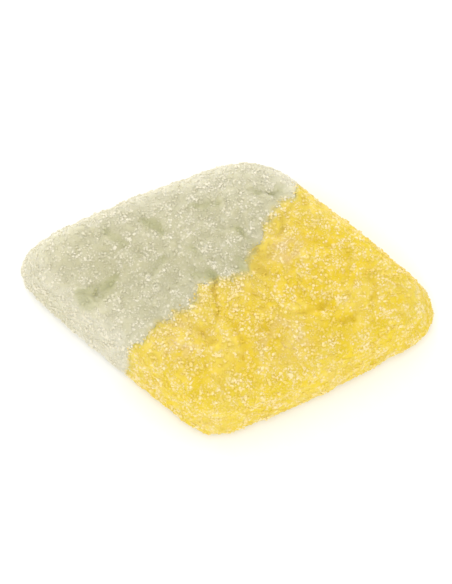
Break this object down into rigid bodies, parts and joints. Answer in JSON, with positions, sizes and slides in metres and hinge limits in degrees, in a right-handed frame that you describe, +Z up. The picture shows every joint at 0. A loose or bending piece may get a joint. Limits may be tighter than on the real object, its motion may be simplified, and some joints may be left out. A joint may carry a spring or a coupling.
{
  "type": "sour candy",
  "caption": "Rounded diamond foam sweet in two colours that meet along a wavy seam, coated all over in sugar crystals.",
  "frame": {"origin": "middle of the bounding box, on the surface that the sweet lies on", "axes": "+X along the long diagonal towards the yellow corner, +Y along the short diagonal towards the pale corner, +Z up out of the face"},
  "size_m": [0.0398, 0.0274, 0.0071],
  "materials": {
    "pale_candy": "soft pale green-cream foam candy, rough with clear sugar crystals",
    "yellow_candy": "soft lemon-yellow foam candy, rough with clear sugar crystals",
    "sugar_crystals": "granulated sugar, clear to white blocky crystals, glinting"
  },
  "bodies": {
    "root": {"pale_half": "pale_candy", "yellow_half": "yellow_candy"}
  },
  "joints": []
}
